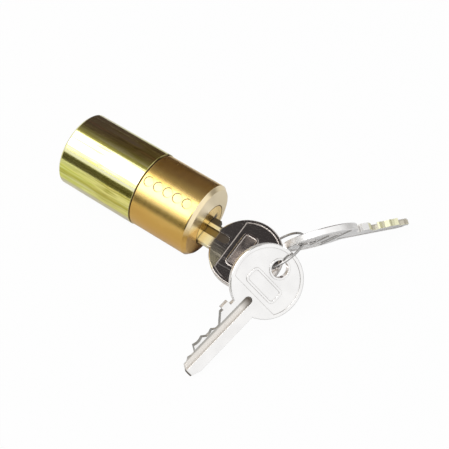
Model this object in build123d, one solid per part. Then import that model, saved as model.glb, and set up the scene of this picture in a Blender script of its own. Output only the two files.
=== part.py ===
from build123d import *
from math import cos, hypot, radians, sin, tan
import os

# Round pin-tumbler lock cylinder with its working key turned past a quarter turn,
# and two spare keys that hang with it on a wire ring.
# Millimetres. +X runs along the barrel towards the keys, +Z is up as the lock lies on
# a table, and the origin is the centre of the barrel's rear face.

# Barrel
body_diameter = 26.0
front_beyond_pins = 2.6
front_bevel_length = 1.3
front_bevel_depth = 1.1
sleeve_step = 0.25
sleeve_length = 30.0
sleeve_wall = 1.2
sleeve_floor = 4.0
sleeve_rear_bevel = 0.7
seam_bevel = 0.3
spigot_fit = 0.03
spigot_end_gap = 0.05

# Plug and what turns with it
plug_diameter = 15.0
plug_beyond_pins = 4.6
plug_offset = 3.5
plug_edge_bevel = 0.3
running_fit = 0.03
end_play = 0.1
journal_diameter = 9.0
journal_length = 20.0
clip_thickness = 1.0
clip_width = 1.7
clip_groove_depth = 0.6
clip_gap_angle = 70.0
clip_room = 1.1
clip_inset = 6.05

# Drive tail, its cross pin and the holes in the rear face
tail_reach = 4.0
tail_width = 5.0
tail_thickness = 2.0
tail_shank_diameter = 4.5
tail_shank_length = 10.0
tail_hole_gap = 0.4
shank_fit = 0.02
cross_pin_diameter = 1.6
cross_pin_inset = 2.5
cross_pin_recess = 0.3
fixing_hole_diameter = 3.3
fixing_hole_spacing = 12.5
fixing_hole_height = 5.5
fixing_hole_depth = 12.0
drill_point_angle = 118.0

# Pin chambers
pin_count = 5
first_pin_depth = 4.7
pin_pitch = 3.8
pin_diameter = 2.9
chamber_clearance = 0.05
driver_length = 4.0
driver_point = 0.4
cap_diameter = 3.3
cap_length = 1.8
cap_recess = 0.12
spring_wire = 0.35
spring_clearance = 0.15
spring_turns = 3.5
key_pin_gap = 0.06
pin_hole_run_on = 0.5
key_pin_flat = 0.9

# Key blank
key_thickness = 2.3
bow_diameter = 24.7
bow_rim = 1.2
bow_field_depth = 0.25
bow_edge_bevel = 0.25
bow_chord_distance = 6.4
bow_chord_rib = 0.8
bow_hole_diameter = 5.8
bow_hole_distance = 5.7
panel_length = 5.6
panel_width = 13.0
panel_distance = 1.6
panel_rib = 0.7
panel_corner = 1.6
stop_distance = 16.2
stop_length = 2.9
stop_height = 5.3
notch_height = 3.7
blade_back = 4.6
blade_top = 4.3
tip_beyond_pins = 1.9
tip_height = -2.5
tip_flat = 1.44
nose_length = 3.6
groove_start = 8.6
groove_middle = 0.4
groove_width = 2.8
groove_depth = 0.75
back_groove_middle = -2.7
back_groove_width = 1.5
back_groove_depth = 0.7
keyway_clearance = 0.12
cut_flat = 1.2
peak_length = 1.0

# Code of the five cuts from the bow to the tip: steps above the blade's middle line
cut_step = 0.1
working_code = [30, 27, 24, 10, 5]
spare_code = [12, 19, 26, 8, 4]
spare_cut_ridge = 0.4

# Where the key stands in the plug
key_stop_gap = 0.3
blade_back_cover = 0.5

# Wire ring
ring_radius = 8.64
ring_wire = 0.8
ring_joint_angle = 2.0

# How the set lies: angles about the barrel are counted from +Y towards +Z
pin_line_angle = 109.3
key_cut_angle = 6.1
ring_axis = Vector(-0.702, 0.061, 0.710).normalized()
front_spare_heading = -101.98
front_spare_dip = 17.4
front_spare_roll = 41.7
side_spare_heading = 60.01
side_spare_dip = 21.17
side_spare_roll = 66.6

# Where each key's hole hangs: angle round the ring, then steps outward and along its axis
working_hole_angle = 137.04
working_hole_out = -0.516
working_hole_along = -0.245
front_hole_angle = 209.96
front_hole_out = -0.341
front_hole_along = -1.354
side_hole_angle = 302.44
side_hole_out = 0.799
side_hole_along = -0.13

# How far a cut runs on past the metal that it goes through
cut_run_on = 1.0

# Heights of the cuts
working_cuts = [cut_step * code for code in working_code]
spare_cuts = [cut_step * code for code in spare_code]

# Lengths that hold the row of pins, from the face to past the last one
row_depth = first_pin_depth + (pin_count - 1) * pin_pitch
front_length = row_depth + front_beyond_pins
plug_length = row_depth + plug_beyond_pins
tip_distance = stop_distance + key_stop_gap + row_depth + tip_beyond_pins

# Stations along the barrel
seam_x = sleeve_length
face_x = sleeve_length + front_length
plug_back_x = face_x - plug_length
journal_back_x = plug_back_x - journal_length
spigot_back_x = sleeve_floor + spigot_end_gap
clip_face_x = journal_back_x + clip_inset
blind_end_x = fixing_hole_depth


def around(angle):
    """Direction across the barrel at an angle from +Y towards +Z."""
    return Vector(0, cos(radians(angle)), sin(radians(angle)))


pin_dir = around(pin_line_angle)
across_dir = around(pin_line_angle - 90)
plug_center = pin_dir * -plug_offset
cut_dir = around(key_cut_angle)
face_dir = around(key_cut_angle + 90)


def turned(corners, center=Vector(0, 0, 0)):
    """Piece turned about a line parallel to X, from its corners as (x, radius)."""
    outline = make_face(Polyline(*corners, close=True))
    return Pos(center) * revolve(outline, Axis.X)


def rod(diameter, start_x, end_x, center=Vector(0, 0, 0)):
    """Straight round bar along X."""
    place = Plane(origin=Vector(start_x, 0, 0) + center, x_dir=(0, 1, 0), z_dir=(1, 0, 0))
    length = end_x - start_x
    return place * Cylinder(diameter / 2, length, align=(Align.CENTER, Align.CENTER, Align.MIN))


def post(diameter, foot, direction, length):
    """Round bar that stands on a foot point and runs in any direction."""
    place = Plane(origin=foot, z_dir=direction)
    return place * Cylinder(diameter / 2, length, align=(Align.CENTER, Align.CENTER, Align.MIN))


def pin_x(number):
    """Distance of a pin chamber from the rear face."""
    return face_x - first_pin_depth - number * pin_pitch


def save(shape, name):
    """Write one piece."""
    export_step(shape, "parts/" + name + ".step")


# Outside of the sleeve, which stands a step proud of the front
sleeve_diameter = body_diameter + 2 * sleeve_step

# Outside of the clip, from the groove that it sits in
clip_diameter = journal_diameter - 2 * clip_groove_depth + 2 * clip_width

# Lengths along the line of pins, measured from the barrel's axis
plug_top = plug_diameter / 2 - plug_offset
body_radius = body_diameter / 2
driver_foot = plug_top + running_fit + chamber_clearance
driver_top = driver_foot + driver_length
cap_top = body_radius - cap_recess
cap_foot = cap_top - cap_length
chamber_diameter = pin_diameter + 2 * chamber_clearance
spring_diameter = chamber_diameter - 2 * spring_clearance


# Brass housing: front barrel, spigot inside the sleeve, and the bores
def build_housing():
    spigot_radius = sleeve_diameter / 2 - sleeve_wall - spigot_fit
    corners = [
        (spigot_back_x, 0),
        (spigot_back_x, spigot_radius),
        (seam_x, spigot_radius),
        (seam_x, body_radius - seam_bevel),
        (seam_x + seam_bevel, body_radius),
        (face_x - front_bevel_length, body_radius),
        (face_x, body_radius - front_bevel_depth),
        (face_x, 0),
    ]
    housing = turned(corners)
    bore = plug_diameter + 2 * running_fit
    journal_bore = journal_diameter + 2 * running_fit
    room = clip_diameter + 2 * clip_room
    housing -= rod(bore, plug_back_x - end_play, face_x, plug_center)
    housing -= rod(journal_bore, spigot_back_x, face_x, plug_center)
    housing -= rod(room, spigot_back_x, clip_face_x, plug_center)
    for number in range(pin_count):
        foot = Vector(pin_x(number), 0, 0)
        housing -= post(chamber_diameter, foot, pin_dir, body_radius + cut_run_on)
        housing -= post(cap_diameter, foot + pin_dir * cap_foot, pin_dir, body_radius)
    for hole in fixing_holes():
        housing -= hole
    return housing


# Two tapped holes for the screws that hold the cylinder from behind
def fixing_holes():
    holes = []
    for side in (-1, 1):
        center = pin_dir * fixing_hole_height + across_dir * (side * fixing_hole_spacing / 2)
        hole = rod(fixing_hole_diameter, -cut_run_on, blind_end_x, center)
        end = Plane(origin=Vector(blind_end_x, 0, 0) + center, z_dir=(1, 0, 0))
        holes.append(hole + end * drill_point(fixing_hole_diameter / 2))
    return holes


def drill_point(radius):
    """Conical bottom that a drill leaves."""
    height = radius / tan(radians(drill_point_angle / 2))
    return Cone(radius, 0, height, align=(Align.CENTER, Align.CENTER, Align.MIN))


# Plated steel sleeve: a cup pressed over the spigot, with the tail's hole in its floor
def build_sleeve():
    radius = sleeve_diameter / 2
    inner = radius - sleeve_wall
    corners = [
        (0, 0),
        (0, radius - sleeve_rear_bevel),
        (sleeve_rear_bevel, radius),
        (seam_x - seam_bevel, radius),
        (seam_x, radius - seam_bevel),
        (seam_x, inner),
        (sleeve_floor, inner),
        (sleeve_floor, 0),
    ]
    sleeve = turned(corners)
    tail_circle = hypot(tail_width, tail_thickness)
    tail_hole = tail_circle + 2 * tail_hole_gap
    sleeve -= rod(tail_hole, -cut_run_on, sleeve_floor + cut_run_on, plug_center)
    for hole in fixing_holes():
        sleeve -= hole
    return sleeve


# Cap pressed into the outer end of a chamber and turned down with the barrel
def build_cap(number):
    foot = Vector(pin_x(number), 0, 0) + pin_dir * cap_foot
    blank = post(cap_diameter, foot, pin_dir, cap_length + cap_recess)
    return blank & turned([(0, 0), (0, cap_top), (face_x, cap_top), (face_x, 0)])


# Driver pin with coned ends, held down on the plug by its spring
def build_driver(number):
    foot = Vector(pin_x(number), 0, 0) + pin_dir * driver_foot
    driver = post(pin_diameter, foot, pin_dir, driver_length)
    return chamfer(driver.edges().filter_by(GeomType.CIRCLE), driver_point)


# Chamber spring between the driver pin and the cap
def build_spring(number):
    height = cap_foot - driver_top - spring_wire
    coil_radius = (spring_diameter - spring_wire) / 2
    foot = Vector(pin_x(number), 0, 0) + pin_dir * (driver_top + spring_wire / 2)
    coil = Helix(height / spring_turns, height, coil_radius)
    start = Plane(origin=coil @ 0, z_dir=coil % 0)
    wire = sweep(start * RegularPolygon(spring_wire / 2, 6), coil, is_frenet=True)
    return Plane(origin=foot, z_dir=pin_dir) * wire


# Blade section across the key: first coordinate towards the cuts, second through the key
def blade_section(gap, back):
    height = blade_top + back + 2 * gap
    section = Pos((blade_top - back) / 2, 0) * Rectangle(height, key_thickness + 2 * gap)
    face = key_thickness / 2 + gap
    front_groove = Rectangle(groove_width - 2 * gap, 2 * groove_depth)
    back_groove = Rectangle(back_groove_width - 2 * gap, 2 * back_groove_depth)
    section -= Pos(groove_middle, -face) * front_groove
    section -= Pos(back_groove_middle, face) * back_groove
    return section


# The blade's middle line lies below the plug's axis, so that its back is just inside the plug
key_line_drop = plug_diameter / 2 - blade_back - blade_back_cover
blade_line = plug_center - cut_dir * key_line_drop
bow_center_x = face_x + key_stop_gap + stop_distance


# Plug with its keyway open along one side, journal, clip groove and pin holes
def build_plug():
    radius = plug_diameter / 2
    journal = journal_diameter / 2
    groove_x = clip_face_x - end_play
    corners = [
        (journal_back_x, 0),
        (journal_back_x, journal - plug_edge_bevel),
        (journal_back_x + plug_edge_bevel, journal),
        (groove_x - clip_thickness, journal),
        (groove_x - clip_thickness, journal - clip_groove_depth),
        (groove_x, journal - clip_groove_depth),
        (groove_x, journal),
        (plug_back_x, journal),
        (plug_back_x, radius),
        (face_x - plug_edge_bevel, radius),
        (face_x, radius - plug_edge_bevel),
        (face_x, 0),
    ]
    plug = turned(corners, plug_center)
    mouth = Plane(origin=Vector(face_x, 0, 0) + blade_line, x_dir=cut_dir, z_dir=(-1, 0, 0))
    plug -= extrude(mouth * blade_section(keyway_clearance, plug_diameter), plug_length)
    hole_foot = min(working_cuts) - pin_hole_run_on
    for number in range(pin_count):
        foot = Vector(pin_x(number), 0, 0) + blade_line + cut_dir * hole_foot
        plug -= post(chamber_diameter, foot, cut_dir, plug_diameter)
    shank_bore = tail_shank_diameter + 2 * shank_fit
    plug -= rod(shank_bore, journal_back_x - cut_run_on, shank_end_x, plug_center)
    plug -= cross_pin_blank(journal_diameter)
    return plug


# Key pin: coned to sit in its cut, its outer end flush with the plug
def build_key_pin(number):
    tip = working_cuts[number] + key_pin_gap
    foot = Vector(pin_x(number), 0, 0) + blade_line + cut_dir * tip
    radius = pin_diameter / 2
    cone = radius - key_pin_flat / 2
    point = Cone(key_pin_flat / 2, radius, cone, align=(Align.CENTER, Align.CENTER, Align.MIN))
    pin = Plane(origin=foot, z_dir=cut_dir) * point
    pin += post(pin_diameter, foot + cut_dir * cone, cut_dir, plug_diameter)
    reach = plug_diameter / 2
    return pin & turned([(0, 0), (0, reach), (face_x, reach), (face_x, 0)], plug_center)


# Open spring clip behind the housing, which keeps the plug in its bore
def build_clip():
    end_x = clip_face_x - end_play
    clip = rod(clip_diameter, end_x - clip_thickness, end_x, plug_center)
    clip -= rod(journal_diameter - 2 * clip_groove_depth, 0, face_x, plug_center)
    spread = clip_diameter * sin(radians(clip_gap_angle / 2))
    wedge = Polyline((0, 0), (clip_diameter, -spread), (clip_diameter, spread), close=True)
    end = Plane(origin=plug_center, x_dir=cut_dir, z_dir=(1, 0, 0))
    return clip - extrude(end * make_face(wedge), face_x)


# Drive tail: a flat bar on a round shank that is pinned into the journal
shank_end_x = journal_back_x + tail_shank_length
cross_pin_x = journal_back_x + cross_pin_inset


def cross_pin_blank(length):
    foot = Vector(cross_pin_x, 0, 0) + plug_center - face_dir * (length / 2)
    return post(cross_pin_diameter, foot, face_dir, length)


def build_tail():
    shank = rod(tail_shank_diameter, journal_back_x, shank_end_x, plug_center)
    root = Plane(origin=Vector(-tail_reach, 0, 0) + plug_center, x_dir=cut_dir, z_dir=(1, 0, 0))
    bar = extrude(root * Rectangle(tail_width, tail_thickness), tail_reach + journal_back_x)
    return shank + bar - cross_pin_blank(journal_diameter)


# Flat key outline: bow centre at the origin, blade along +X, cuts on the +Y side
def key_outline(cuts, ridge):
    bow = Circle(bow_diameter / 2)
    stop_back = stop_distance - stop_length
    corners = [
        (0, -blade_back),
        (tip_distance - nose_length, -blade_back),
        (tip_distance, tip_height - tip_flat / 2),
        (tip_distance, tip_height + tip_flat / 2),
    ]
    edge = [
        (0, notch_height),
        (stop_back, notch_height),
        (stop_back, stop_height),
        (stop_distance, stop_height),
        (stop_distance, blade_top),
        (stop_distance + peak_length, blade_top),
    ]
    first = face_x + key_stop_gap + stop_distance
    for number, height in enumerate(cuts):
        place = first - pin_x(number)
        if number > 0 and ridge > 0:
            edge.append((place - pin_pitch / 2, max(height, cuts[number - 1]) + ridge))
        edge.append((place - cut_flat / 2, height))
        edge.append((place + cut_flat / 2, height))
    return bow + make_face(Polyline(*(corners + edge[::-1]), close=True))


# Sunk field of the bow: inside the rim, cut off by a rib along a chord
def bow_field():
    inner = bow_diameter / 2 - bow_rim
    field = Circle(inner)
    rib = Pos(bow_chord_distance, 0) * Rectangle(bow_chord_rib, bow_diameter)
    beyond = Pos(bow_chord_distance + bow_diameter / 2, 0) * Rectangle(bow_diameter, bow_diameter)
    field -= rib
    field -= beyond
    field -= Pos(-bow_hole_distance, 0) * Circle(bow_hole_diameter / 2 + bow_rim / 2)
    frame = RectangleRounded(panel_length, panel_width, panel_corner)
    well_length = panel_length - 2 * panel_rib
    well_width = panel_width - 2 * panel_rib
    frame -= RectangleRounded(well_length, well_width, panel_corner - panel_rib)
    return field - Pos(panel_distance, 0) * frame


def groove_cutter(width, depth, middle, side):
    """Milled groove along the blade with a round run-out, on one face of the key."""
    length = tip_distance
    slot = Pos(groove_start + length / 2, middle) * Rectangle(length, width)
    slot += Pos(groove_start, middle) * Circle(width / 2)
    low = key_thickness / 2 - depth if side > 0 else -key_thickness / 2 - depth
    return Pos(0, 0, low) * extrude(slot, 2 * depth)


def build_key(cuts, ridge):
    half = key_thickness / 2
    key = extrude(key_outline(cuts, ridge), half, both=True)
    key = chamfer(key.edges().filter_by(GeomType.CIRCLE), bow_edge_bevel)
    key -= Pos(-bow_hole_distance, 0) * Cylinder(bow_hole_diameter / 2, key_thickness * 2)
    for low in (half - bow_field_depth, -half - bow_field_depth):
        key -= Pos(0, 0, low) * extrude(bow_field(), 2 * bow_field_depth)
    key -= groove_cutter(groove_width, groove_depth, groove_middle, -1)
    key -= groove_cutter(back_groove_width, back_groove_depth, back_groove_middle, 1)
    return key


def lying(heading, dip, roll, hole):
    """Place of a hanging key: heading of its blade from above, its dip, roll and hole."""
    flat = cos(radians(dip))
    blade = Vector(cos(radians(heading)) * flat, sin(radians(heading)) * flat, -sin(radians(dip)))
    side = Vector(sin(radians(heading)), -cos(radians(heading)), 0)
    over = side.cross(blade)
    cuts = side * cos(radians(roll)) + over * sin(radians(roll))
    center = hole + blade * bow_hole_distance
    return Plane(origin=center, x_dir=blade, z_dir=blade.cross(cuts))


# Wire ring with butted ends, threaded through the three bows
ring_frame = Plane(origin=(0, 0, 0), x_dir=(0, 1, 0), z_dir=ring_axis)


def from_ring_center(angle, outward, along):
    """Step from the ring's centre to the middle of a key's hole."""
    out = ring_frame.x_dir * cos(radians(angle)) + ring_frame.y_dir * sin(radians(angle))
    return out * (ring_radius + outward) + ring_axis * along


def build_ring():
    ring = Torus(ring_radius, ring_wire / 2, major_angle=360 - ring_joint_angle)
    return Plane(origin=ring_center, x_dir=ring_frame.x_dir, z_dir=ring_axis) * ring


os.makedirs("parts", exist_ok=True)
save(build_housing(), "cylinder_housing")
save(build_sleeve(), "rear_sleeve")
save(build_plug(), "plug")
save(build_clip(), "plug_clip")
save(build_tail(), "drive_tail")
save(cross_pin_blank(journal_diameter - 2 * cross_pin_recess), "tail_cross_pin")
for chamber in range(pin_count):
    label = str(chamber + 1)
    save(build_cap(chamber), "chamber_cap_" + label)
    save(build_driver(chamber), "driver_pin_" + label)
    save(build_spring(chamber), "driver_spring_" + label)
    save(build_key_pin(chamber), "key_pin_" + label)
working_hole = Vector(bow_center_x + bow_hole_distance, 0, 0) + blade_line
working_step = from_ring_center(working_hole_angle, working_hole_out, working_hole_along)
ring_center = working_hole - working_step
front_hole = ring_center + from_ring_center(front_hole_angle, front_hole_out, front_hole_along)
side_hole = ring_center + from_ring_center(side_hole_angle, side_hole_out, side_hole_along)
working_place = Plane(
    origin=Vector(bow_center_x, 0, 0) + blade_line,
    x_dir=(-1, 0, 0),
    z_dir=Vector(-1, 0, 0).cross(cut_dir),
)
spare_key = build_key(spare_cuts, spare_cut_ridge)
front_place = lying(front_spare_heading, front_spare_dip, front_spare_roll, front_hole)
side_place = lying(side_spare_heading, side_spare_dip, side_spare_roll, side_hole)
save(working_place * build_key(working_cuts, 0), "working_key")
save(front_place * spare_key, "front_spare_key")
save(side_place * spare_key, "side_spare_key")
save(build_ring(), "key_ring")
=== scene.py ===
# %% [markdown]
# # A lock cylinder and its keys
#
# The object is a round lock cylinder that lies on its side. Its rear half is a yellow-plated steel sleeve,
# its front half is turned brass. A nickel-plated key stands in the plug, and two more keys hang with it on
# a wire ring. Nearly every surface is bare or plated metal, so the lesson is about metal: what it reflects,
# the marks that tools leave on it, and how its edges catch the light.
#
# The solids are already built at their real size. They are loaded first and never moved or changed.

# %% Load the solids
import bpy
import math
from mathutils import Matrix, Vector


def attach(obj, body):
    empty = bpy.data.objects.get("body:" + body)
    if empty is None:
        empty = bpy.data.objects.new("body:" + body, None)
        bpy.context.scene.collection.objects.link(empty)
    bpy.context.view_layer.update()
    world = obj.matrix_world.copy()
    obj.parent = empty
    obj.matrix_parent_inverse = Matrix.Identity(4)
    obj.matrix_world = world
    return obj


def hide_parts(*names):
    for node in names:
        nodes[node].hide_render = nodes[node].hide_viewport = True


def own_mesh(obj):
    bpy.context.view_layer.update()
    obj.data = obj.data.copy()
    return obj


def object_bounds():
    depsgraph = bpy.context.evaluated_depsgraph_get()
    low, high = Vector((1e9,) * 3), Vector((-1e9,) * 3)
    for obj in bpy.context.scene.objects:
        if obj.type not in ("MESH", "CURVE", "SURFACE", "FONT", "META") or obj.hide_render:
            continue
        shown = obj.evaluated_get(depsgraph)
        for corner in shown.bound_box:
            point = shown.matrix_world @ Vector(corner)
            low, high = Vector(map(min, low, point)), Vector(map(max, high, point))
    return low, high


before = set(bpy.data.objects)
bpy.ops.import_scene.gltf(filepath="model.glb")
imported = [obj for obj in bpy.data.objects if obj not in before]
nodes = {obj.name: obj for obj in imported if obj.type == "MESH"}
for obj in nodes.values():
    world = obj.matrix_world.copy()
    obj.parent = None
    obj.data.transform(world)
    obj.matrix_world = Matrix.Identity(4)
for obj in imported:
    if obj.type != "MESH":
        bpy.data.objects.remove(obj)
solid_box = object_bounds()

# %% [markdown]
# ## Sizes that the finishes need
#
# The tools that made these pieces left marks that follow the pieces' own axes: rings round a turned part,
# straight lines along a milled blade. So each finish needs to know where its piece's axis is. Everything is
# in metres, with +X along the barrel, +Z up and the barrel's rear face at zero.

# %% Sizes of the barrel
MM = 0.001
FLOOR = solid_box[0][2]
BARREL_AXIS = (0.0, 0.0)
PLUG_AXIS = (1.157 * MM, -3.303 * MM)
PLUG_BEVEL = 7.2 * MM
SEAM = 30.0 * MM
FRONT_BEVEL = 51.2 * MM
FIRST_CAP = 47.8 * MM
CAP_PITCH = 3.8 * MM
CAP_RADIUS = 1.65 * MM
CAP_ROW = math.radians(109.3)
CHAMBERS = range(1, 6)


def spoke(angle):
    """Direction straight out from the barrel's axis. The angle goes from +Y toward +Z."""
    return (0.0, math.cos(angle), math.sin(angle))


print("table at", round(FLOOR / MM, 3), "mm, seam at", round(SEAM / MM, 1), "mm")


# %% Directions of the keys
def key_frame(center, heading, dip, roll):
    """Bow centre, blade direction, direction of the cuts and face normal. Takes millimetres and degrees."""
    h, d, r = (math.radians(v) for v in (heading, dip, roll))
    blade = Vector((math.cos(h) * math.cos(d), math.sin(h) * math.cos(d), -math.sin(d)))
    side = Vector((math.sin(h), -math.cos(h), 0))
    cuts = side * math.cos(r) + side.cross(blade) * math.sin(r)
    return Vector(center) * MM, blade, cuts, blade.cross(cuts)


KEYS = {
    "working_key": key_frame((69.0, -1.23, -3.558), heading=180.0, dip=0.0, roll=6.1),
    "front_spare_key": key_frame((81.18, -7.86, 0.81), heading=-101.98, dip=17.4, roll=41.7),
    "side_spare_key": key_frame((87.35, 14.37, 3.48), heading=60.01, dip=21.17, roll=66.6),
}
for name, (_, blade, cuts, _) in KEYS.items():
    print(name, "blade", [round(v, 3) for v in blade], "cuts", [round(v, 3) for v in cuts])

# %% [markdown]
# ## Small helpers for shader trees
#
# A shader is a graph. Short helpers keep the graphs readable: one adds a node and sets its sockets, a few
# do sums, and others stretch a value into a mask or lay one colour over another. Each takes plain numbers
# or the outputs of other nodes.


# %% Helpers for nodes and sums
def add(tree, kind, sockets=None, **settings):
    """One node, with its settings, and with numbers or links on its sockets."""
    node = tree.nodes.new(kind)
    for name, value in settings.items():
        setattr(node, name, value)
    for name, value in (sockets or {}).items():
        feed(tree, value, node.inputs[name])
    return node


def feed(tree, value, socket):
    """Links an output to a socket, or writes a number or colour on it."""
    if isinstance(value, bpy.types.NodeSocket):
        tree.links.new(value, socket)
    else:
        socket.default_value = value


def calc(tree, operation, first, second=0.0, third=0.0):
    """One step of arithmetic."""
    node = add(tree, "ShaderNodeMath", operation=operation)
    for value, socket in zip((first, second, third), node.inputs):
        feed(tree, value, socket)
    return node.outputs[0]


def times(tree, *values):
    """Values multiplied with each other."""
    product = values[0]
    for value in values[1:]:
        product = calc(tree, "MULTIPLY", product, value)
    return product


def plus(tree, *values):
    """Values added up."""
    total = values[0]
    for value in values[1:]:
        total = calc(tree, "ADD", total, value)
    return total


def larger(tree, first, second):
    """The larger of two values."""
    return calc(tree, "MAXIMUM", first, second)


def opposite(tree, mask):
    """A mask turned round: 1 where it was 0."""
    return calc(tree, "SUBTRACT", 1.0, mask)


def distance(tree, value, middle=0.0):
    """How far a value is from a middle, on either side."""
    return calc(tree, "ABSOLUTE", calc(tree, "SUBTRACT", value, middle))


def diagonal(tree, first, second):
    """The long side of a right triangle, from its two short sides."""
    return calc(tree, "SQRT", plus(tree, times(tree, first, first), times(tree, second, second)))


def spread(tree, value, low, high, new_low=0.0, new_high=1.0):
    """Stretches a value from one range to another and cuts it off there."""
    sockets = {"Value": value, "From Min": low, "From Max": high, "To Min": new_low, "To Max": new_high}
    return add(tree, "ShaderNodeMapRange", sockets).outputs["Result"]


print("helpers for sums ready")


# %% Helpers for places and noises
def own_place(tree):
    """A point's place in the piece's own coordinates, in metres."""
    return add(tree, "ShaderNodeTexCoord").outputs["Object"]


def split(tree, vector):
    """The three numbers of a vector."""
    return add(tree, "ShaderNodeSeparateXYZ", {"Vector": vector}).outputs


def measure(tree, vector, direction):
    """How far a vector reaches along a direction."""
    dot = add(tree, "ShaderNodeVectorMath", {0: vector, 1: tuple(direction)}, operation="DOT_PRODUCT")
    return dot.outputs["Value"]


def stretch(tree, place, scale, turn=(0.0, 0.0, 0.0)):
    """A place scaled along its three directions and then turned."""
    return add(tree, "ShaderNodeMapping", {"Vector": place, "Rotation": turn, "Scale": scale}).outputs[0]


def noise(tree, place, scale, detail, **sockets):
    """A cloudy noise over a place."""
    sockets.update({"Vector": place, "Scale": scale, "Detail": detail})
    return add(tree, "ShaderNodeTexNoise", sockets).outputs[0]


def line_noise(tree, path, detail):
    """A noise that changes along one path only."""
    sockets = {"W": path, "Scale": 1.0, "Detail": detail}
    return add(tree, "ShaderNodeTexNoise", sockets, noise_dimensions="1D").outputs[0]


print("helpers for places ready")


# %% Helpers for colours, groups and pieces
def blend_colour(tree, factor, first, second, kind="MIX"):
    """Two colours by a mask."""
    node = add(tree, "ShaderNodeMix", data_type="RGBA", blend_type=kind)
    feed(tree, factor, node.inputs["Factor"])
    feed(tree, first, node.inputs["A"])
    feed(tree, second, node.inputs["B"])
    return node.outputs["Result"]


def paint_over(tree, colour, *coats):
    """Coats over a colour, one after another. A coat is a mask and a tint, and it may say how it blends."""
    for mask, tint, *kind in coats:
        colour = blend_colour(tree, mask, colour, tint, *kind)
    return colour


def new_group(name, inputs, outputs):
    """An empty node group with named sockets, and its two end nodes."""
    group = bpy.data.node_groups.new(name, "ShaderNodeTree")
    for label, kind, value in inputs:
        socket = group.interface.new_socket(label, in_out="INPUT", socket_type="NodeSocket" + kind)
        socket.default_value = value
    for label, kind in outputs:
        group.interface.new_socket(label, in_out="OUTPUT", socket_type="NodeSocket" + kind)
    return group, group.nodes.new("NodeGroupInput").outputs, group.nodes.new("NodeGroupOutput").inputs


def place_group(tree, group, **sockets):
    """The group in a material, with that material's own values."""
    node = tree.nodes.new("ShaderNodeGroup")
    node.node_tree = group
    for name, value in sockets.items():
        feed(tree, value, node.inputs[name.replace("_", " ")])
    return node.outputs


def new_material(name):
    """A material with an empty tree."""
    material = bpy.data.materials.new(name)
    material.use_nodes = True
    material.node_tree.nodes.clear()
    return material, material.node_tree


def bring_in(name, data):
    """An object that shows a mesh, a lamp or a camera in the scene."""
    thing = bpy.data.objects.new(name, data)
    bpy.context.scene.collection.objects.link(thing)
    return thing


print("helpers for colours, groups and pieces ready")

# %% [markdown]
# ## Marks of the lathe
#
# A turned surface carries fine rings round its axis, on the outside and on the end faces alike. A texture
# that depends only on the distance along the axis plus the distance from it gives both at once: on the
# outside the distance from the axis is the same all over, and on a face the distance along it is. A picture
# texture would need unwrapping, so a one-dimensional noise is used. A fine one is the relief of the rings,
# and a broad one makes some of them duller.

# %% Group: turned rings
# The path is in metres, so 1000 counts whole rings, and 90 runs about eleven of them together.
FINE_RINGS = 1000.0
BROAD_RINGS = 90.0

turned_rings, given, wanted = new_group(
    "turned_rings",
    [("Centre Y", "Float", 0.0), ("Centre Z", "Float", 0.0), ("Rings per mm", "Float", 12.0)],
    [("Height", "Float"), ("Streak", "Float"), ("From Axis", "Float")],
)
along, right, up = split(turned_rings, own_place(turned_rings))
off_y = calc(turned_rings, "SUBTRACT", right, given["Centre Y"])
off_z = calc(turned_rings, "SUBTRACT", up, given["Centre Z"])
from_axis = diagonal(turned_rings, off_y, off_z)
path = times(turned_rings, plus(turned_rings, along, from_axis), given["Rings per mm"])
fine = line_noise(turned_rings, times(turned_rings, path, FINE_RINGS), detail=3.0)
broad = line_noise(turned_rings, times(turned_rings, path, BROAD_RINGS), detail=2.0)
feed(turned_rings, fine, wanted["Height"])
feed(turned_rings, from_axis, wanted["From Axis"])
feed(turned_rings, spread(turned_rings, broad, 0.35, 0.65), wanted["Streak"])
print("group:", turned_rings.name)

# %% [markdown]
# ## Sides of the barrel
#
# The barrel hung and lay the same way for long, so its upper side is pale and its flanks are richer in
# colour. The pale top is also painted light, since the highlight falls there. A group finds a point's side
# from the cosine between its direction from the axis and a line's direction, which is one dot product.
# Under is 0 along the pale line, and 1 from a certain angle away from it. Drained is a narrow stripe on each
# side of that line, where the bath ran off. Lilac is a stripe low on the near side, and Near Flank is the
# whole near flank. The brass is painted darker there and on its lower side, as painted shade.

# %% Group: side of the barrel
PALE_LINE = math.radians(112.0)
NEAR_FLANK_LINE = math.radians(200.0)
LILAC_LINE = math.radians(197.0)
DRAINED_COSINE = 0.585

barrel_side, given, wanted = new_group(
    "barrel_side",
    [("Pale Until", "Float", 0.95), ("Full From", "Float", 0.78)],
    [("Under", "Float"), ("Lilac", "Float"), ("Drained", "Float"), ("Near Flank", "Float")],
)
flattened = add(barrel_side, "ShaderNodeVectorMath", {0: own_place(barrel_side), 1: (0.0, 1.0, 1.0)},
                operation="MULTIPLY").outputs[0]
outward = add(barrel_side, "ShaderNodeVectorMath", {0: flattened}, operation="NORMALIZE").outputs[0]
to_pale, to_lilac, to_held = (
    measure(barrel_side, outward, spoke(line)) for line in (PALE_LINE, LILAC_LINE, NEAR_FLANK_LINE)
)
off_drained = distance(barrel_side, to_pale, DRAINED_COSINE)
feed(barrel_side, spread(barrel_side, to_pale, given["Pale Until"], given["Full From"]), wanted["Under"])
feed(barrel_side, spread(barrel_side, to_lilac, 0.955, 0.985), wanted["Lilac"])
feed(barrel_side, spread(barrel_side, off_drained, 0.10, 0.02), wanted["Drained"])
feed(barrel_side, spread(barrel_side, to_held, 0.45, 0.72), wanted["Near Flank"])
print("group:", barrel_side.name)

# %% [markdown]
# ## Edges and hollows
#
# Handled metal is brighter on its edges, where the plating is rubbed, and darker in its hollows, where dirt
# settles and where painted shade stands for the shade that falls there. A bevel node compares the true
# surface with a rounded one: where they differ, there is an edge. The same node gives the rounded edge
# itself, so that a sharp solid still catches a thin line of light. An occlusion node finds the hollows.

# %% Group: rubbed edges
RAYS = 6

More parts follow.
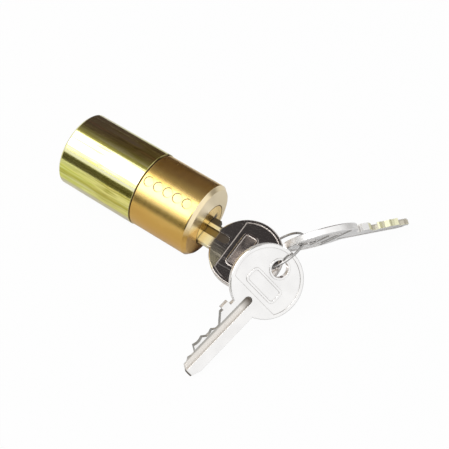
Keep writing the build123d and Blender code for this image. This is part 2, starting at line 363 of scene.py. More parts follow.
rubbed_edges, given, wanted = new_group(
    "rubbed_edges",
    [("Radius", "Float", 0.15 * MM), ("Hollow Reach", "Float", 0.8 * MM)],
    [("Edge", "Float"), ("Hollow", "Float"), ("Normal", "Vector")],
)
rounded = add(rubbed_edges, "ShaderNodeBevel", {"Radius": given["Radius"]}, samples=RAYS).outputs[0]
true_normal = add(rubbed_edges, "ShaderNodeNewGeometry").outputs["True Normal"]
likeness = add(rubbed_edges, "ShaderNodeVectorMath", {0: rounded, 1: true_normal}, operation="DOT_PRODUCT")
# The finishes darken the hollows found here with dirt and painted shade.
occlusion = add(rubbed_edges, "ShaderNodeAmbientOcclusion", {"Distance": given["Hollow Reach"]}, samples=RAYS)
feed(rubbed_edges, spread(rubbed_edges, likeness.outputs["Value"], 0.995, 0.86), wanted["Edge"])
feed(rubbed_edges, spread(rubbed_edges, occlusion.outputs["AO"], 0.85, 0.35), wanted["Hollow"])
feed(rubbed_edges, rounded, wanted["Normal"])
print("group:", rubbed_edges.name)

# %% [markdown]
# ## Scratches
#
# Keys rub on each other and in pockets. Their scratches are short, thin, and lie all ways. A noise that is
# squeezed far more along two directions than along the third, and cut off near its top, leaves thin dashes.
# Three of them, each turned differently, look crossed. They sit on the piece, because the coordinates are
# the piece's own.

# %% Group: pocket scratches
DASH_SCALE = (90.0, 2600.0, 900.0)
DASH_TURNS = ((0.3, 0.9, 0.2), (1.7, 0.4, 1.1), (2.6, 2.0, 0.6))

pocket_scratches, given, wanted = new_group(
    "pocket_scratches",
    [("Density", "Float", 1.0), ("Amount", "Float", 0.5)],
    [("Scratch", "Float")],
)
place = own_place(pocket_scratches)
crossed = 0.0
for turn in DASH_TURNS:
    turned_place = stretch(pocket_scratches, place, DASH_SCALE, turn)
    dashes = noise(pocket_scratches, turned_place, scale=given["Density"], detail=1.0)
    crossed = larger(pocket_scratches, crossed, spread(pocket_scratches, dashes, 0.66, 0.74))
feed(pocket_scratches, times(pocket_scratches, crossed, given["Amount"]), wanted["Scratch"])
print("group:", pocket_scratches.name)

# %% [markdown]
# ## The colours of yellow zinc
#
# Steel that is zinc plated and passivated wears a thin film, and a thin film has the colours of oil on
# water: pale straw where it is thinnest, then yellow, olive and gold. The bath drains along the sleeve, so
# the colours lie in long streaks. A noise stretched along the barrel chooses a place on a ramp of those
# colours.

# %% Group: zinc film
FILM_STRETCH = (9.0, 420.0, 420.0)
FILM_COLOURS = [
    (0.00, (0.80, 0.78, 0.62, 1)),
    (0.22, (0.86, 0.84, 0.50, 1)),
    (0.40, (0.90, 0.86, 0.36, 1)),
    (0.52, (0.70, 0.67, 0.14, 1)),
    (0.62, (0.93, 0.86, 0.30, 1)),
    (0.74, (0.50, 0.46, 0.08, 1)),
    (0.84, (0.94, 0.80, 0.28, 1)),
    (0.92, (0.90, 0.56, 0.14, 1)),
    (1.00, (0.72, 0.60, 0.20, 1)),
]

zinc_film, given, wanted = new_group(
    "zinc_film",
    [("Streaks", "Float", 1.0), ("Under", "Float", 0.0)],
    [("Color", "Color"), ("Thickness", "Float")],
)
place = own_place(zinc_film)
drained_place = stretch(zinc_film, place, FILM_STRETCH)
streaks = noise(zinc_film, drained_place, scale=given["Streaks"], detail=4.0, Roughness=0.55, Distortion=0.3)
clouds = noise(zinc_film, place, scale=70.0, detail=2.0)
mottled = plus(zinc_film, times(zinc_film, streaks, 0.75), times(zinc_film, clouds, 0.25))
# The film is thicker away from the top. Its pale top is partly painted light, where the highlight falls.
thickness = plus(zinc_film, spread(zinc_film, mottled, 0.36, 0.64, 0.0, 0.74),
                 times(zinc_film, given["Under"], 0.22))
ramp = add(zinc_film, "ShaderNodeValToRGB", {"Fac": thickness})
for spot, colour in FILM_COLOURS[1:-1]:
    ramp.color_ramp.elements.new(spot).color = colour
ramp.color_ramp.elements[0].color = FILM_COLOURS[0][1]
ramp.color_ramp.elements[-1].color = FILM_COLOURS[-1][1]
feed(zinc_film, ramp.outputs["Color"], wanted["Color"])
feed(zinc_film, thickness, wanted["Thickness"])
print("group:", zinc_film.name, "with", len(FILM_COLOURS), "colours")

# %% [markdown]
# ## Putting a finish together
#
# Every metal here is the same shader, the Principled BSDF with Metallic at 1. What differs is its colour,
# how sharp its reflections are, and the relief. The relief goes in as a height on one bump node, whose
# normal starts from the rounded edges.


# %% A metal and its relief
def new_metal(name):
    """A material with one metal shader."""
    material, tree = new_material(name)
    metal = add(tree, "ShaderNodeBsdfPrincipled", {"Metallic": 1.0})
    add(tree, "ShaderNodeOutputMaterial", {"Surface": metal.outputs[0]})
    return material, tree, metal


def dress(tree, metal, colour, roughness, height, normal, depth):
    """Gives a metal its colour, roughness and relief. The depth of the relief is in millimetres."""
    sockets = {"Height": height, "Distance": depth * MM, "Strength": 1.0, "Normal": normal}
    bump = add(tree, "ShaderNodeBump", sockets)
    feed(tree, colour, metal.inputs["Base Color"])
    feed(tree, roughness, metal.inputs["Roughness"])
    feed(tree, bump.outputs["Normal"], metal.inputs["Normal"])


def darker(colour, share):
    """A colour with less of everything."""
    return tuple(part * share for part in colour[:3]) + (1,)


def give(material, *names):
    """Puts a material on solids, through their material slots."""
    for name in names:
        for slot in nodes[name].material_slots:
            slot.material = material
    print(material.name, "on", len(names), "pieces")


def numbered(*kinds):
    """Names of the pieces that each chamber has."""
    return ["%s_%d" % (kind, number) for kind in kinds for number in CHAMBERS]


print("finishes can be made")

# %% [markdown]
# ## The plated sleeve
#
# The sleeve is drawn steel, so it is smooth, with broad soft colours and hardly any rings. Its reflections
# are nearly sharp, and a little duller where the film is thick. Near its rear end the film is greener where
# fingers hold it, and greyer on the far side. A brown stripe and a lilac one run along the near flank, and
# dirt lies in the seam to the brass. These tints belong to the round outside, so a mask keeps them off the
# end face.

# %% Sleeve material
seam_dirt = (0.20, 0.14, 0.06, 1)
green_tint = (0.94, 1.0, 0.80, 1)
far_grey = (0.76, 0.78, 0.70, 1)
brown_tint = (0.62, 0.57, 0.30, 1)
lilac_film = (0.60, 0.53, 0.50, 1)
rubbed_zinc = (0.86, 0.84, 0.76, 1)
# Dirt and painted shade for the sleeve's hollows.
sleeve_dust_and_shade = (0.20, 0.15, 0.07, 1)

sleeve_finish, tree, metal = new_metal("yellow_zinc")
side = place_group(tree, barrel_side, Pale_Until=0.96, Full_From=0.80)
film = place_group(tree, zinc_film, Streaks=1.0, Under=side["Under"])
edges = place_group(tree, rubbed_edges, Radius=0.12 * MM, Hollow_Reach=0.6 * MM)
rings = place_group(tree, turned_rings, Rings_per_mm=9.0)
coordinates = add(tree, "ShaderNodeTexCoord").outputs
along = split(tree, coordinates["Object"])["X"]
facing = split(tree, coordinates["Normal"])["X"]
round_part = spread(tree, distance(tree, facing), 0.7, 0.5)
near_rear = times(tree, spread(tree, along, 20 * MM, 5 * MM), round_part)
far_side = times(tree, side["Under"], opposite(tree, side["Near Flank"]))
drained = times(tree, side["Drained"], spread(tree, film["Thickness"], 0.25, 0.75, 0.45, 1.0), round_part)
lilac = times(tree, side["Lilac"], spread(tree, film["Thickness"], 0.85, 0.45, 0.35, 0.85), round_part)
colour = paint_over(
    tree, film["Color"],
    (times(tree, near_rear, side["Near Flank"]), green_tint, "MULTIPLY"),
    (times(tree, near_rear, far_side, 0.4), far_grey),
    (times(tree, drained, side["Near Flank"]), brown_tint, "MULTIPLY"),
    (lilac, lilac_film),
    (times(tree, edges["Edge"], 0.5), rubbed_zinc),
    # Dirt and painted shade in the hollows.
    (times(tree, edges["Hollow"], 0.7), sleeve_dust_and_shade),
    (spread(tree, along, SEAM - 0.28 * MM, SEAM - 0.16 * MM), seam_dirt),
)
rough = plus(tree, 0.10, times(tree, film["Thickness"], 0.04), times(tree, rings["Streak"], 0.02))
dress(tree, metal, colour, rough, rings["Height"], edges["Normal"], depth=0.0004)
give(sleeve_finish, "rear_sleeve")

# %% [markdown]
# ## Turned brass
#
# The barrel's front, the plug and the caps are brass, turned and left bare. Brass from the lathe is satin:
# its reflections are soft, and the rings spread them along the barrel. A warm stain lies on it in clouds. The
# lower side and the near flank of the barrel are painted darker and warmer, which is painted shade, and the
# end face is painted paler, which is painted light. The caps are turned down with the barrel, so only the
# dirt in their joints shows them, with painted shade that makes it heavier on each cap's rear side. Beside
# the plug's keyway, painted shade darkens the open side. Dirt and painted shade darken the hollows. The
# shaded stretch low on the front edge and the short dark arc on the bevel are lines in the colour, because
# they have no depth to speak of.

# %% Colours of the brass
brass_colour = (0.92, 0.66, 0.24, 1)
# A warm stain, also used as painted shade on the lower side.
brass_stain_and_shade = (0.87, 0.57, 0.14, 1)
# Painted shade for the near lower flank.
shaded_flank_brass = (0.68, 0.40, 0.10, 1)
# Painted light: a paler brass for the end face.
lit_face_brass = (0.97, 0.84, 0.58, 1)
rubbed_brass = (0.95, 0.80, 0.46, 1)
# Dirt and painted shade for the brass's hollows.
brass_dust_and_shade = (0.16, 0.09, 0.03, 1)
# Dirt in the caps' joints, with painted shade on their rear sides.
joint_dirt_and_shade = (0.20, 0.18, 0.10, 1)
shaded_rim = (0.24, 0.17, 0.09, 1)
dark_arc = (0.12, 0.09, 0.04, 1)
# Painted shade at the open side of the keyway.
painted_keyway_shade = (0.05, 0.03, 0.01, 1)
plug_dirt = (0.20, 0.13, 0.05, 1)
STAIN_STRETCH = (30.0, 160.0, 160.0)
LOW_LINE = math.radians(232.0)
ARC_LINE = math.radians(130.0)
print("brass colours ready")


# %% Marks on the brass
def key_coordinates(tree, frame_of_key):
    """Distances from the bow's centre: along the blade, toward the cuts, and out of the face."""
    center, *directions = frame_of_key
    away = add(tree, "ShaderNodeVectorMath", {0: own_place(tree), 1: tuple(center)}, operation="SUBTRACT")
    return [measure(tree, away.outputs[0], direction) for direction in directions]


def joint_of_caps(tree, place):
    """Dirt in the joint round each pressed-in cap, with painted shade that makes it heavier on its rear side.
    """
    x, y, z = split(tree, place)
    along = calc(tree, "WRAP", calc(tree, "SUBTRACT", x, FIRST_CAP), CAP_PITCH / 2, -CAP_PITCH / 2)
    across = measure(tree, place, spoke(CAP_ROW - math.pi / 2))
    off_joint = distance(tree, diagonal(tree, along, across), CAP_RADIUS)
    line = spread(tree, off_joint, 0.28 * MM, 0.13 * MM)
    heavier = spread(tree, along, 1.2 * MM, -0.6 * MM, 0.15, 1.0)
    past_seam = spread(tree, x, SEAM + 0.7 * MM, SEAM + 0.9 * MM)
    within_row = spread(tree, x, FIRST_CAP + 2.0 * MM, FIRST_CAP + 1.8 * MM)
    upper_side = spread(tree, z, 10 * MM, 11 * MM)
    return times(tree, line, heavier, past_seam, within_row, upper_side)


def barrel_marks(tree, place):
    """Coats for the barrel: dirt and painted shade in the caps' joints, dirt in the seam, the shaded rim and
    the dark arc.
    """
    along = split(tree, place)["X"]
    low = spread(tree, measure(tree, place, spoke(LOW_LINE)), 10 * MM, 11.6 * MM)
    front_edge = spread(tree, along, FRONT_BEVEL - 0.2 * MM, FRONT_BEVEL + 0.1 * MM, 0.0, 0.7)
    arc = spread(tree, distance(tree, along, FRONT_BEVEL - 0.1 * MM), 0.30 * MM, 0.14 * MM)
    arc_reach = spread(tree, measure(tree, place, spoke(ARC_LINE)), 12.45 * MM, 12.8 * MM, 0.0, 0.85)
    return [
        (joint_of_caps(tree, place), joint_dirt_and_shade),
        (spread(tree, along, SEAM + 0.30 * MM, SEAM + 0.18 * MM), seam_dirt),
        (times(tree, low, front_edge), shaded_rim),
        (times(tree, arc, arc_reach), dark_arc),
    ]


def plug_marks(tree, from_axis, keyway):
    """Coats for the plug: painted shade at the open side of the keyway, and dirt in the joint to the barrel.
    """
    across, out = key_coordinates(tree, keyway)[1:]
    # Painted shade at the open side of the keyway.
    keyway_gap_shade = times(tree, spread(tree, across, 4.2 * MM, 4.6 * MM), spread(tree, across, 7.6 * MM, 6.4 * MM),
                spread(tree, distance(tree, out), 1.5 * MM, 0.9 * MM), 0.95)
    joint = spread(tree, from_axis, PLUG_BEVEL - 0.08 * MM, PLUG_BEVEL + 0.05 * MM)
    return [(keyway_gap_shade, painted_keyway_shade), (times(tree, joint, 0.85), plug_dirt)]


print("brass marks ready")


# %% Brass material
def brass(name, axis, roughness, rings_per_mm, low_side_shade=0.0, lit_face_share=0.0, caps=False, keyway=None):
    """Bare turned brass about an axis. It may carry the row of caps, or painted shade beside a keyway."""
    material, tree, metal = new_metal(name)
    rings = place_group(tree, turned_rings, Centre_Y=axis[0], Centre_Z=axis[1], Rings_per_mm=rings_per_mm)
    edges = place_group(tree, rubbed_edges, Radius=0.12 * MM, Hollow_Reach=0.5 * MM)
    side = place_group(tree, barrel_side, Pale_Until=0.95, Full_From=0.70)
    coordinates = add(tree, "ShaderNodeTexCoord").outputs
    place = coordinates["Object"]
    facing = split(tree, coordinates["Normal"])["X"]
    near_flank = side["Near Flank"] if caps else 0.0
    lit_face = times(tree, spread(tree, facing, 0.3, 0.7), opposite(tree, near_flank))
    clouds = noise(tree, stretch(tree, place, STAIN_STRETCH), scale=1.0, detail=3.0)
    colour = paint_over(
        tree, brass_colour,
        # A warm stain in clouds, and painted shade that darkens the lower side.
        (plus(tree, spread(tree, clouds, 0.42, 0.66), times(tree, side["Under"], low_side_shade)), brass_stain_and_shade),
        # Painted shade on the near lower flank.
        (times(tree, near_flank, spread(tree, clouds, 0.3, 0.6, 0.65, 1.0)), shaded_flank_brass),
        # Painted light: the end face is paler.
        (times(tree, lit_face, lit_face_share), lit_face_brass),
        (times(tree, edges["Edge"], 0.5), rubbed_brass),
        # Dirt and painted shade in the hollows.
        (times(tree, edges["Hollow"], 0.75), brass_dust_and_shade),
    )
    if caps:
        colour = paint_over(tree, colour, *barrel_marks(tree, place))
    if keyway:
        colour = paint_over(tree, colour, *plug_marks(tree, rings["From Axis"], keyway))
    rough = plus(tree, roughness, times(tree, rings["Streak"], 0.02), times(tree, lit_face, 0.04),
                 times(tree, clouds, 0.04))
    dress(tree, metal, colour, rough, rings["Height"], edges["Normal"], depth=0.0003)
    return material


housing_finish = brass("turned_brass", BARREL_AXIS, roughness=0.23, rings_per_mm=7.0, low_side_shade=0.6,
                       lit_face_share=1.0, caps=True)
plug_finish = brass("plug_brass", PLUG_AXIS, roughness=0.20, rings_per_mm=9.0, lit_face_share=0.15,
                    keyway=KEYS["working_key"])
give(housing_finish, "cylinder_housing", *numbered("chamber_cap"))
give(plug_finish, "plug")

# %% [markdown]
# ## Nickel keys
#
# The keys are stamped brass with bright nickel over it. The cuts are milled after plating, so their flanks
# show the metal under it, with fine lines across. On the front spare the flanks and the edges by the cuts
# are painted grey instead, which is painted shade. The finish finds the cuts by tests in the key's own
# directions: the surface must face the side of the cuts, and lie past the stop.
#
# The working key has been in use. The part of it that goes into the plug is bare, with painted shade along
# its edge toward the cuts, where the keyway stands open. Its groove is painted dark brown as painted shade,
# the mouth of the groove is painted dark, the well inside the panel's frame is matte, and the bow is tinted
# near the neck by handling. On the spare keys the groove has a tint of its own, and its inner end and the
# nose are painted dark.

# %% Places on a key
# Along the blade these are distances from the bow's centre, and across it from the key's middle.
GROOVE_MIDDLE = 0.4 * MM
GROOVE_HALF = 1.4 * MM
KEY_FACE = 1.15 * MM
BOW_BEVEL = 12.1 * MM
BOW_CHORD = 6.4 * MM
GROOVE_END = 7.2 * MM
BARE_FROM = 11.6 * MM
STOP = 16.2 * MM
TIP = 38.3 * MM
WELL_MIDDLE = 1.6 * MM
WELL_HALF_LENGTH = 2.1 * MM
WELL_HALF_WIDTH = 5.8 * MM
MILL_LINES = 9000.0

bright_nickel = (0.93, 0.92, 0.91, 1)
warm_nickel = (0.80, 0.76, 0.73, 1)
rubbed_nickel = (0.97, 0.95, 0.92, 1)
rubbed_pink = (0.92, 0.78, 0.68, 1)
# The grey of the front spare's cut flanks is painted shade.
shaded_grey_cuts = (0.38, 0.37, 0.35, 1)
yellow_cuts = (0.84, 0.82, 0.58, 1)
bare_blade = (1.0, 0.93, 0.62, 1)
# Painted shade for the working key's groove.
shaded_brown_groove = (0.26, 0.19, 0.07, 1)
pale_groove = (0.86, 0.82, 0.77, 1)
grey_groove = (0.62, 0.58, 0.48, 1)
groove_wall = (0.40, 0.39, 0.36, 1)
# A dark coat: painted shade beside the keyway on the working key, and dark groove ends and nose.
dark_key_coat = (0.08, 0.06, 0.04, 1)
warm_well = (0.90, 0.78, 0.72, 1)
olive_neck = (0.88, 0.84, 0.62, 1)
# Dirt and painted shade for the keys' hollows.
dark_dust_and_shade = (0.07, 0.06, 0.05, 1)
pale_dust_and_shade = (0.36, 0.34, 0.32, 1)
print("blade from", round(BOW_BEVEL / MM, 1), "to", round(TIP / MM, 1), "mm from the bow's centre")


# %% Wear of the working key and of the spares
def working_wear(tree, u, v, off_groove, sunk, edge, clouds):
    """The working key's groove, its darkened parts, bare blade and matte part, and the coats on its plate."""
    in_plug = spread(tree, u, BARE_FROM, BARE_FROM + 0.4 * MM)
    outside = opposite(tree, in_plug)
    by_groove = spread(tree, off_groove, GROOVE_HALF + 0.6 * MM, GROOVE_HALF + 0.4 * MM)
    past_chord = spread(tree, u, BOW_CHORD, BOW_CHORD + 0.2 * MM)
    sunk_or_edge = larger(tree, sunk, spread(tree, edge, 0.0, 0.15))
    # The mouth of the groove is painted dark.
    mouth = times(tree, by_groove, past_chord, outside, sunk_or_edge)
    # Painted shade along the neck's edge toward the cuts, where the keyway stands open.
    neck_gap_shade = times(tree, in_plug, spread(tree, v, 2.9 * MM, 3.2 * MM))
    along_well = spread(tree, distance(tree, u, WELL_MIDDLE), WELL_HALF_LENGTH, WELL_HALF_LENGTH - 0.2 * MM)
    across_well = spread(tree, distance(tree, v), WELL_HALF_WIDTH, WELL_HALF_WIDTH - 0.2 * MM)
    well = times(tree, along_well, across_well, spread(tree, clouds, 0.38, 0.58, 0.25, 1.0))
    near_neck = spread(tree, u, BOW_CHORD - 0.3 * MM, BOW_CHORD - 0.1 * MM)
    handled = times(tree, near_neck, outside, spread(tree, v, -1.0 * MM, -7.0 * MM))
    return {
        "groove_reach": in_plug,
        "darkened": larger(tree, neck_gap_shade, mouth),
        "bare": spread(tree, u, BARE_FROM, BARE_FROM + 1.0 * MM),
        "matte": larger(tree, well, times(tree, handled, 0.6)),
        "coats": [(well, warm_well, "MULTIPLY"), (handled, olive_neck, "MULTIPLY")],
    }


def spare_wear(tree, u, groove):
    """A spare key's groove and its darkened parts. Its blade is plated all over, and nothing on it is matte.
    """
    groove_reach = spread(tree, u, GROOVE_END - 0.3 * MM, GROOVE_END - 0.1 * MM)
    # The inner end of the groove and the nose are painted dark.
    groove_end = times(tree, groove, groove_reach, spread(tree, u, 12.0 * MM, 8.0 * MM))
    nose = spread(tree, u, TIP - 0.7 * MM, TIP - 0.3 * MM)
    return {
        "groove_reach": groove_reach,
        "darkened": larger(tree, groove_end, nose),
        "bare": 0.0,
        "matte": 0.0,
        "coats": [],
    }


print("wear of the keys ready")


# %% Key material
def key_finish(name, frame_of_key, nickel, roughness, worn, cuts, groove_tint, dust_and_shade, rim, wall_shade=0.0,
               working=False):
    """Nickel with milled cuts, in one key's own directions. Rim rounds its edges, in millimetres."""
    material, tree, metal = new_metal(name)
    u, v, w = key_coordinates(tree, frame_of_key)
    facing = measure(tree, add(tree, "ShaderNodeTexCoord").outputs["Normal"], frame_of_key[2])
    edges = place_group(tree, rubbed_edges, Radius=rim * MM, Hollow_Reach=1.0 * MM)
    scratches = place_group(tree, pocket_scratches, Density=1.0, Amount=0.6)
    flat = add(tree, "ShaderNodeCombineXYZ", {"X": u, "Y": v, "Z": w}).outputs[0]
    clouds = noise(tree, flat, scale=160.0, detail=3.0)
    grain = noise(tree, flat, scale=2600.0, detail=2.0)
    lines = line_noise(tree, times(tree, u, MILL_LINES), detail=2.0)

    off_face = distance(tree, w)
    off_groove = distance(tree, v, GROOVE_MIDDLE)
    sunk = spread(tree, off_face, KEY_FACE - 0.05 * MM, KEY_FACE - 0.25 * MM)
    groove = times(tree, sunk, spread(tree, off_groove, GROOVE_HALF + 0.15 * MM, GROOVE_HALF + 0.05 * MM))
    if working:
        wear = working_wear(tree, u, v, off_groove, sunk, edges["Edge"], clouds)
    else:
        wear = spare_wear(tree, u, groove)
    groove = times(tree, groove, wear["groove_reach"])
    wall = times(tree, groove, spread(tree, v, GROOVE_MIDDLE + 0.25 * MM, GROOVE_MIDDLE + 0.65 * MM))
    past_stop = spread(tree, u, STOP - 0.3 * MM, STOP + 0.2 * MM)
    milled = times(tree, spread(tree, facing, 0.25, 0.45), past_stop, spread(tree, v, 0.2 * MM, 0.3 * MM))
    past_bow = spread(tree, diagonal(tree, u, v), BOW_BEVEL - 0.1 * MM, BOW_BEVEL + 0.1 * MM)
    sheared = times(tree, spread(tree, off_face, KEY_FACE - 0.1 * MM, KEY_FACE - 0.3 * MM), past_bow)
    by_cuts = times(tree, spread(tree, u, 12.0 * MM, 12.5 * MM), spread(tree, v, 0.8 * MM, 1.2 * MM))

    colour = paint_over(
        tree, nickel,
        (spread(tree, clouds, 0.35, 0.7), darker(nickel, 0.93)),
        *wear["coats"],
        # Edges are rubbed lighter, but by the cuts they take the cuts' colour, which on the front spare is
        # painted shade.
        (times(tree, edges["Edge"], 0.8), blend_colour(tree, by_cuts, worn, cuts)),
        # Cut flanks: bare metal on two keys, painted shade on the front spare.
        (milled, cuts),
        (wear["bare"], bare_blade),
        # The groove's tint; on the working key it is painted shade.
        (groove, groove_tint),
        (times(tree, wall, wall_shade), groove_wall),
        # The dark coat: painted shade beside the keyway, and dark groove ends and nose.
        (times(tree, wear["darkened"], 0.95), dark_key_coat),
        # Dirt and painted shade in the hollows.
        (times(tree, edges["Hollow"], 0.8), dust_and_shade),
    )
    raw = larger(tree, larger(tree, milled, wear["bare"]), sheared)
    rough = plus(tree, roughness, times(tree, clouds, 0.04), times(tree, scratches["Scratch"], 0.12),
                 times(tree, raw, 0.28), times(tree, wear["darkened"], 0.25), times(tree, wear["matte"], 0.15))
    height = calc(tree, "SUBTRACT", times(tree, grain, 0.5), scratches["Scratch"])
    height = plus(tree, height, times(tree, lines, milled, 2.0))
    dress(tree, metal, colour, rough, height, edges["Normal"], depth=0.0016)
    return material


spare_look = {"nickel": bright_nickel, "roughness": 0.14, "worn": rubbed_nickel, "dust_and_shade": pale_dust_and_shade}
KEY_LOOKS = {
    "working_key": {
        "name": "nickel_working_key",
        "nickel": warm_nickel,
        "roughness": 0.05,
        "worn": rubbed_pink,
        "cuts": yellow_cuts,
        "groove_tint": shaded_brown_groove,
        "dust_and_shade": dark_dust_and_shade,
        "rim": 0.22,
        "working": True,
    },
    "front_spare_key": {
        "name": "nickel_front_spare",
        "cuts": shaded_grey_cuts,
        "groove_tint": pale_groove,
        "rim": 0.18,
        "wall_shade": 0.8,
        **spare_look,
    },
    "side_spare_key": {
        "name": "nickel_side_spare",
        "cuts": yellow_cuts,
        "groove_tint": grey_groove,
        "rim": 0.12,
        **spare_look,
    },
}
for piece, look in KEY_LOOKS.items():
    give(key_finish(frame_of_key=KEYS[piece], **look), piece)

# %% [markdown]
# ## Small steel pieces and inner brass
#
# The ring, the clip, the springs and the tail are steel, with a fine grain all over. The inner pieces
# hardly show, but a keyway or a hole may open on them, so they get the same metals.


# %% Steel material
wire_colour = (0.52, 0.51, 0.50, 1)
bar_colour = (0.66, 0.64, 0.60, 1)
# Dirt and painted shade for the steel's hollows.
steel_dust_and_shade = (0.08, 0.07, 0.06, 1)


def steel(name, colour, roughness, grain_scale):
    """Plain steel with a fine grain."""
    material, tree, metal = new_metal(name)
    edges = place_group(tree, rubbed_edges, Radius=0.06 * MM, Hollow_Reach=0.4 * MM)
    scratches = place_group(tree, pocket_scratches, Density=1.3, Amount=0.5)
    grain = noise(tree, own_place(tree), scale=grain_scale, detail=3.0)
    tint = paint_over(
        tree, colour,
        (spread(tree, grain, 0.35, 0.7), darker(colour, 0.7)),
        # Dirt and painted shade in the hollows.
        (times(tree, edges["Hollow"], 0.6), steel_dust_and_shade),
    )
    rough = plus(tree, roughness, times(tree, scratches["Scratch"], 0.15))
    dress(tree, metal, tint, rough, grain, edges["Normal"], depth=0.001)
    return material


wire_steel = steel("wire_steel", wire_colour, roughness=0.22, grain_scale=1800.0)
plain_steel = steel("plain_steel", bar_colour, roughness=0.28, grain_scale=900.0)
pin_brass = brass("pin_brass", PLUG_AXIS, roughness=0.25, rings_per_mm=8.0)
give(wire_steel, "key_ring", "plug_clip", *numbered("driver_spring"))
give(plain_steel, "drive_tail", "tail_cross_pin")
give(pin_brass, *numbered("driver_pin", "key_pin"))

# %% [markdown]
# ## Stand-ins for the springs
#
# A driver pin slides up against its spring, which flattens toward its cap as the pin rises: the 3.0 mm of
# its length become 1.8 mm. A wound wire is one solid, so no joint shortens it. A piece with the same shape,
# on a mesh of its own, stands for each spring, and the solid is hidden.

# %% Springs
for number in CHAMBERS:
    solid = nodes["driver_spring_%d" % number]
    spring = bring_in("wound_spring_%d" % number, solid.data.copy())
    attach(spring, "lock_body")
    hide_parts(solid.name)
    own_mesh(spring)
    print(spring.name, "stands for", solid.name)

# %% [markdown]
# ## The table and the light
#
# The lock lies on a plain white table in soft light. The white that the camera sees comes from the table's
# own glow and not from more light, so the metal keeps its tones. The room is white too, and a little dimmer
# where it only lights. One large soft lamp stands high on the near left.

# %% Table
TABLE_REACH = 3.0
white = (1, 1, 1, 1)
table_paint = (0.82, 0.82, 0.82, 1)


def seen_share(tree, direct, mirrored):
    """One share for a ray from the camera, another for a ray from metal or glass, and 0 for the rest."""
    path = add(tree, "ShaderNodeLightPath").outputs
    bounced = larger(tree, path["Is Glossy Ray"], path["Is Transmission Ray"])
    return larger(tree, times(tree, path["Is Camera Ray"], direct), times(tree, bounced, mirrored))


floor_mesh = bpy.data.meshes.new("table_top")
corners = [(-1, -1), (1, -1), (1, 1), (-1, 1)]
floor_mesh.from_pydata([(x * TABLE_REACH, y * TABLE_REACH, FLOOR) for x, y in corners], [], [(0, 1, 2, 3)])
floor = bring_in("table_top", floor_mesh)

table_white, tree = new_material("table_white")
paint = add(tree, "ShaderNodeBsdfDiffuse", {"Color": table_paint})
glow = add(tree, "ShaderNodeEmission", {"Color": white, "Strength": 1.0})
glow_share = seen_share(tree, direct=0.97, mirrored=0.18)
mixed = add(tree, "ShaderNodeMixShader", {0: glow_share, 1: paint.outputs[0], 2: glow.outputs[0]})
add(tree, "ShaderNodeOutputMaterial", {"Surface": mixed.outputs[0]})
floor.data.materials.append(table_white)
print("table at", FLOOR)

# %% Room light
ROOM_LEVEL = 0.55
world = bpy.data.worlds.new("white_room")
bpy.context.scene.world = world
world.use_nodes = True
tree = world.node_tree
tree.nodes.clear()
level = spread(tree, seen_share(tree, direct=1.0, mirrored=1.0), 0.0, 1.0, ROOM_LEVEL, 1.0)
sky = add(tree, "ShaderNodeBackground", {"Color": white, "Strength": level})
add(tree, "ShaderNodeOutputWorld", {"Surface": sky.outputs[0]})


def soft_box(name, target, toward, reach, along, across, brightness):
    """A flat lamp that faces a point. Its first side lies along the barrel."""
    back = Vector(toward).normalized()
    first = (Vector((1, 0, 0)) - back * back.x).normalized()
    lamp = bpy.data.lights.new(name, "AREA")
    lamp.shape = "RECTANGLE"
    lamp.size = along
    lamp.size_y = across
    lamp.energy = brightness * math.pi * along * across
    holder = bring_in(name, lamp)
    holder.matrix_world = Matrix((first, back.cross(first), back)).transposed().to_4x4()
    holder.location = Vector(target) + back * reach


soft_box("top_box", target=(0.03, 0.0, 0.0), toward=(-0.375, -0.30, 0.877), reach=0.70, along=0.36,
         across=0.66, brightness=2.5)
print("room ready")

# %% [markdown]
# ## Cards round the metal
#
# Metal shows what stands around it, so a white room alone would leave it flat and pale. A photographer puts
# dark cards beside metal to draw its form. Here only reflections see the cards. A large one, bent round
# behind the barrel, and a narrower one on the near side draw the long dark bands of the sleeve and the
# brass. Two grey ones to the right give the keys and the front face something to reflect, and a small one
# high up darkens the working key's bow. On the table lie a large dark card behind the lock, and two small
# ones close before the front face, which that face and its edge reflect: a pale glowing one is painted light
# where the table lies in the shade of the bow, and a dark one is a painted shadow at the foot of the face.


# %% Cards
CARD_RADIUS = 0.45
CARD_STEPS = 24
brown = (0.080, 0.056, 0.055, 1)
front_brown = (0.125, 0.09, 0.085, 1)
upper_grey = (0.42, 0.40, 0.36, 1)
olive = (0.10, 0.095, 0.06, 1)
warm_grey = (0.22, 0.20, 0.19, 1)
near_black = (0.05, 0.045, 0.045, 1)
# Painted light: a glowing pale patch for the table in the bow's shade.
painted_light_paper = (0.95, 0.95, 0.95, 1)


def faded(tree, colour):
    """The far card's tone: browner toward its front end, and lighter toward its upper edge."""
    x, y, z = split(tree, own_place(tree))
    front = spread(tree, x, -0.17, -0.11)
    fade_from = calc(tree, "MULTIPLY_ADD", front, math.radians(-12), math.radians(42))
    rise = spread(tree, calc(tree, "ARCTAN2", z, y), fade_from, math.radians(80))
    return paint_over(tree, colour, (front, front_brown), (times(tree, rise, rise), upper_grey))


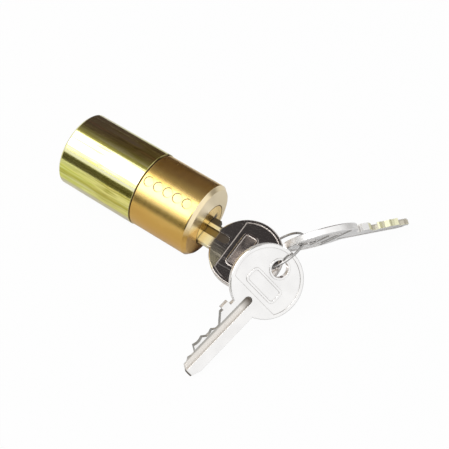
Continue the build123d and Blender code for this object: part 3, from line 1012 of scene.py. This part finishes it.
def hang_card(name, points, colour, fading=False):
    """A card through pairs of points, seen only in reflections."""
    faces = [(n, n + 1, n + 3, n + 2) for n in range(0, len(points) - 2, 2)]
    mesh = bpy.data.meshes.new(name)
    mesh.from_pydata(points, [], faces)
    card = bring_in(name, mesh)
    material, tree = new_material(name)
    tone = faded(tree, colour) if fading else colour
    paper = add(tree, "ShaderNodeEmission", {"Color": tone, "Strength": 1.0})
    add(tree, "ShaderNodeOutputMaterial", {"Surface": paper.outputs[0]})
    card.data.materials.append(material)
    card.visible_camera = False
    card.visible_diffuse = False
    card.visible_shadow = False


def bent_card(name, low, high, ends, colour, radius=CARD_RADIUS, fading=False):
    """A card bent about the barrel's axis, from a low to a high angle and between two ends along the axis."""
    angles = [math.radians(low + (high - low) * number / CARD_STEPS) for number in range(CARD_STEPS + 1)]
    points = [(x, radius * math.cos(a), radius * math.sin(a)) for a in angles for x in ends]
    hang_card(name, points, colour, fading)


def table_card(name, corners, height, colour):
    """A card that lies a little above the table. Its corners come in pairs, in millimetres."""
    hang_card(name, [(x * MM, y * MM, FLOOR + height * MM) for x, y in corners], colour)


bent_card("far_card", low=-1.5, high=79.0, ends=(-0.36, -0.01), colour=brown, fading=True)
bent_card("near_card", low=151.0, high=175.0, ends=(-0.36, 0.02), colour=olive)
bent_card("right_far_card", low=-1.5, high=26.0, ends=(0.10, 0.50), colour=warm_grey)
bent_card("right_near_card", low=148.0, high=176.0, ends=(0.14, 0.50), colour=warm_grey)
bent_card("bow_card", low=66.0, high=91.0, ends=(-0.092, -0.02), colour=near_black, radius=0.44)
table_card("table_card", [(-240, 45), (45, 45), (-240, 450), (45, 450)], height=0.2, colour=brown)
# Painted light on the table where the bow shades it, seen only in reflections.
table_card("painted_light_card", [(58, 0.5), (65, 0.5), (58, 13), (65, 13)], height=0.3, colour=painted_light_paper)
# A painted shadow at the foot of the front face, seen only in reflections.
table_card("painted_shadow_card", [(52.6, -7.0), (54.8, -7.0), (52.6, 0.3), (56.4, 0.3)], height=0.3, colour=brown)
print("cards ready")

# %% [markdown]
# ## The camera
#
# The photograph looks down on the lock from the front right, from close by, so the near end of the set is a
# little larger than the far end. The place and the lens were found by fitting the barrel's outline.

# %% Camera
lens = bpy.data.cameras.new("photo_view")
lens.sensor_width = 36.0
lens.lens = 85.83
camera = bring_in("photo_view", lens)
camera.location = (0.16437, -0.15122, 0.29909)
camera.rotation_euler = (math.radians(32.02), 0.0, math.radians(34.75))
bpy.context.scene.camera = camera
bpy.context.scene.view_settings.view_transform = "Standard"
print("lens", lens.lens, "mm")
